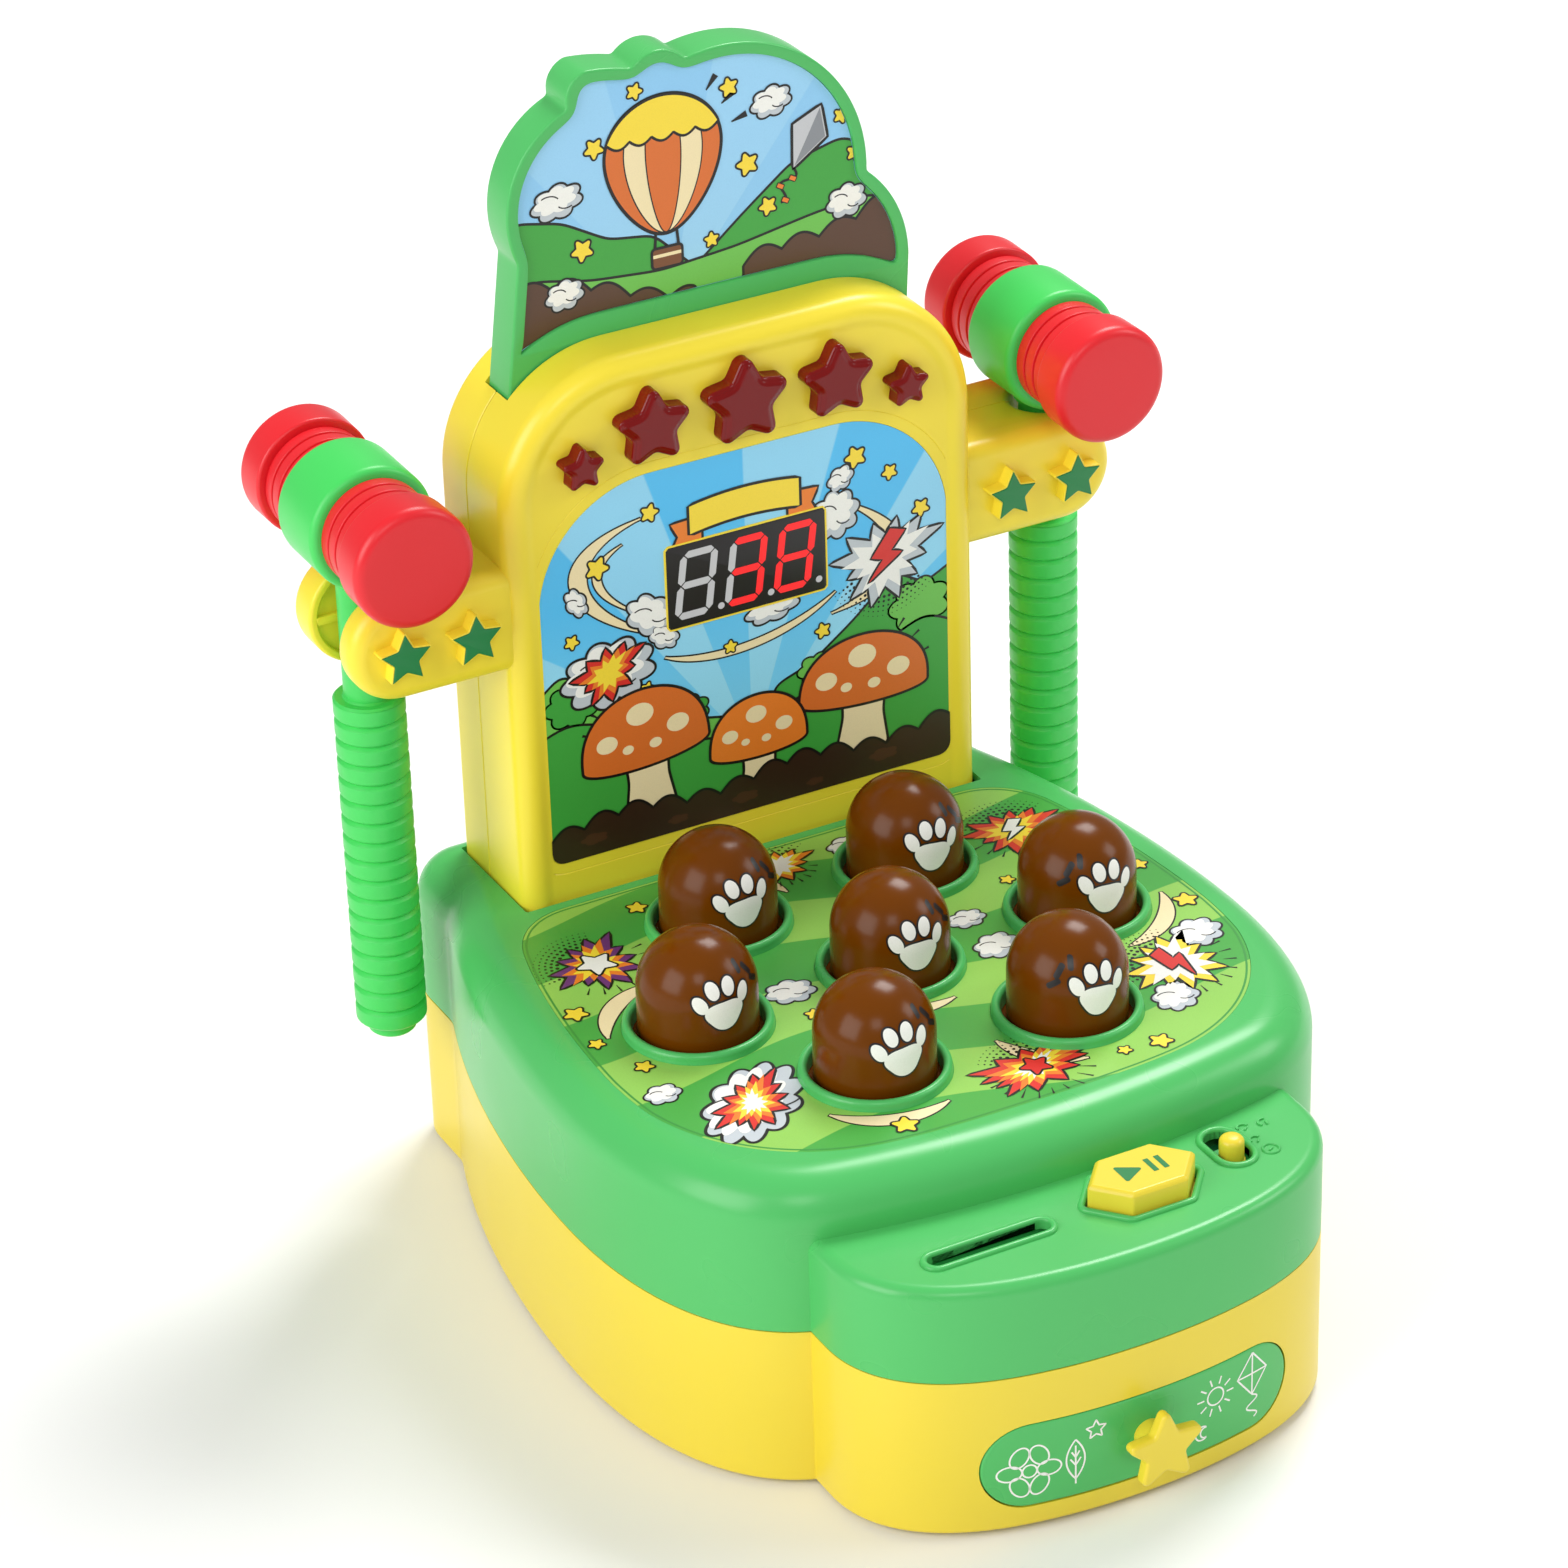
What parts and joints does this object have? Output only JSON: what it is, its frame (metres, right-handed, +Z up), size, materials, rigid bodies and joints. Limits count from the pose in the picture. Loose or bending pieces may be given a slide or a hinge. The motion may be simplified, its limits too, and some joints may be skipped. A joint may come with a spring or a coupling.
{
  "type": "mole pounding game",
  "caption": "Tabletop mole pounding toy with sprung domes on a raised field, a score tower with side arms, a coin drawer and bellows hammers.",
  "frame": {"origin": "on the floor, under the middle of the bounding box", "axes": "+Z up, -Y towards the player, +X to the player's right"},
  "size_m": [0.2574, 0.2892, 0.3409],
  "materials": {
    "yellow_plastic": "glossy moulded plastic",
    "green_plastic": "glossy moulded plastic",
    "hammer_green": "soft gloss",
    "hammer_red": "soft gloss",
    "mole_brown": "high gloss, slightly see-through",
    "lamp_red": "high gloss, slightly see-through",
    "badge_green": "satin",
    "field_print": "printed sheet",
    "sky_print": "printed sheet",
    "display_black": "dark gloss",
    "board_green": "circuit board",
    "spring_steel": "drawn wire",
    "foot_rubber": "matt",
    "cell_wrap": "plain wrap",
    "speaker_dark": "matt",
    "pale_plastic": "matt"
  },
  "bodies": {
    "base": {"base_lower_casing": "yellow_plastic", "base_upper_casing": "green_plastic", "field_label": "field_print", "mole_spring_1": "spring_steel", "mole_spring_2": "spring_steel", "mole_spring_3": "spring_steel", "mole_spring_4": "spring_steel", "mole_spring_5": "spring_steel", "mole_spring_6": "spring_steel", "mole_spring_7": "spring_steel", "main_board": "board_green", "control_board": "board_green", "coin_chute": "pale_plastic", "battery_door": "yellow_plastic", "battery_door_screw": "spring_steel", "battery_1": "cell_wrap", "battery_2": "cell_wrap", "battery_3": "cell_wrap", "battery_contact_left": "spring_steel", "battery_contact_right": "spring_steel", "speaker": "speaker_dark", "foot_1": "foot_rubber", "foot_2": "foot_rubber", "foot_3": "foot_rubber", "foot_4": "foot_rubber", "tower_front_shell": "yellow_plastic", "tower_rear_shell": "yellow_plastic", "arm_star_1": "badge_green", "arm_star_2": "badge_green", "arm_star_3": "badge_green", "arm_star_4": "badge_green", "score_label": "sky_print", "digit_display": "display_black", "display_board": "board_green", "star_lamp_1": "lamp_red", "star_lamp_2": "lamp_red", "star_lamp_3": "lamp_red", "star_lamp_4": "lamp_red", "star_lamp_5": "lamp_red", "picture_frame": "green_plastic", "picture_label": "sky_print"},
    "mole_1": {"mole_cap_1": "mole_brown"},
    "mole_2": {"mole_cap_2": "mole_brown"},
    "mole_3": {"mole_cap_3": "mole_brown"},
    "mole_4": {"mole_cap_4": "mole_brown"},
    "mole_5": {"mole_cap_5": "mole_brown"},
    "mole_6": {"mole_cap_6": "mole_brown"},
    "mole_7": {"mole_cap_7": "mole_brown"},
    "button": {"play_button": "yellow_plastic"},
    "switch_knob": {"slide_knob": "yellow_plastic"},
    "drawer": {"coin_drawer": "green_plastic", "drawer_knob": "yellow_plastic"},
    "hammer_left": {"hammer_handle_left": "hammer_green", "hammer_bellows_left_front": "hammer_red", "hammer_bellows_left_rear": "hammer_red"},
    "hammer_right": {"hammer_handle_right": "hammer_green", "hammer_bellows_right_front": "hammer_red", "hammer_bellows_right_rear": "hammer_red"}
  },
  "joints": [
    {"name": "mole_1_press", "type": "slide", "parent": "base", "child": "mole_1", "axis": [0, 0, -1], "range_m": [0, 0.007], "stiffness_N_per_m": 300, "springref_m": -0.004, "deforming": ["mole_spring_1"]},
    {"name": "mole_2_press", "type": "slide", "parent": "base", "child": "mole_2", "axis": [0, 0, -1], "range_m": [0, 0.007], "stiffness_N_per_m": 300, "springref_m": -0.004, "deforming": ["mole_spring_2"]},
    {"name": "mole_3_press", "type": "slide", "parent": "base", "child": "mole_3", "axis": [0, 0, -1], "range_m": [0, 0.007], "stiffness_N_per_m": 300, "springref_m": -0.004, "deforming": ["mole_spring_3"]},
    {"name": "mole_4_press", "type": "slide", "parent": "base", "child": "mole_4", "axis": [0, 0, -1], "range_m": [0, 0.007], "stiffness_N_per_m": 300, "springref_m": -0.004, "deforming": ["mole_spring_4"]},
    {"name": "mole_5_press", "type": "slide", "parent": "base", "child": "mole_5", "axis": [0, 0, -1], "range_m": [0, 0.007], "stiffness_N_per_m": 300, "springref_m": -0.004, "deforming": ["mole_spring_5"]},
    {"name": "mole_6_press", "type": "slide", "parent": "base", "child": "mole_6", "axis": [0, 0, -1], "range_m": [0, 0.007], "stiffness_N_per_m": 300, "springref_m": -0.004, "deforming": ["mole_spring_6"]},
    {"name": "mole_7_press", "type": "slide", "parent": "base", "child": "mole_7", "axis": [0, 0, -1], "range_m": [0, 0.007], "stiffness_N_per_m": 300, "springref_m": -0.004, "deforming": ["mole_spring_7"]},
    {"name": "button_press", "type": "slide", "parent": "base", "child": "button", "axis": [0, 0, -1], "range_m": [0, 0.002], "stiffness_N_per_m": 400, "springref_m": -0.002},
    {"name": "switch_slide", "type": "slide", "parent": "base", "child": "switch_knob", "axis": [0, 1, 0], "range_m": [-0.0025, 0.0065]},
    {"name": "drawer_slide", "type": "slide", "parent": "base", "child": "drawer", "axis": [0, -1, 0], "range_m": [0, 0.05]},
    {"name": "hammer_left_draw", "type": "slide", "parent": "base", "child": "hammer_left", "axis": [-1, 0, 0], "range_m": [0, 0.04]},
    {"name": "hammer_right_draw", "type": "slide", "parent": "base", "child": "hammer_right", "axis": [1, 0, 0], "range_m": [0, 0.04]}
  ]
}
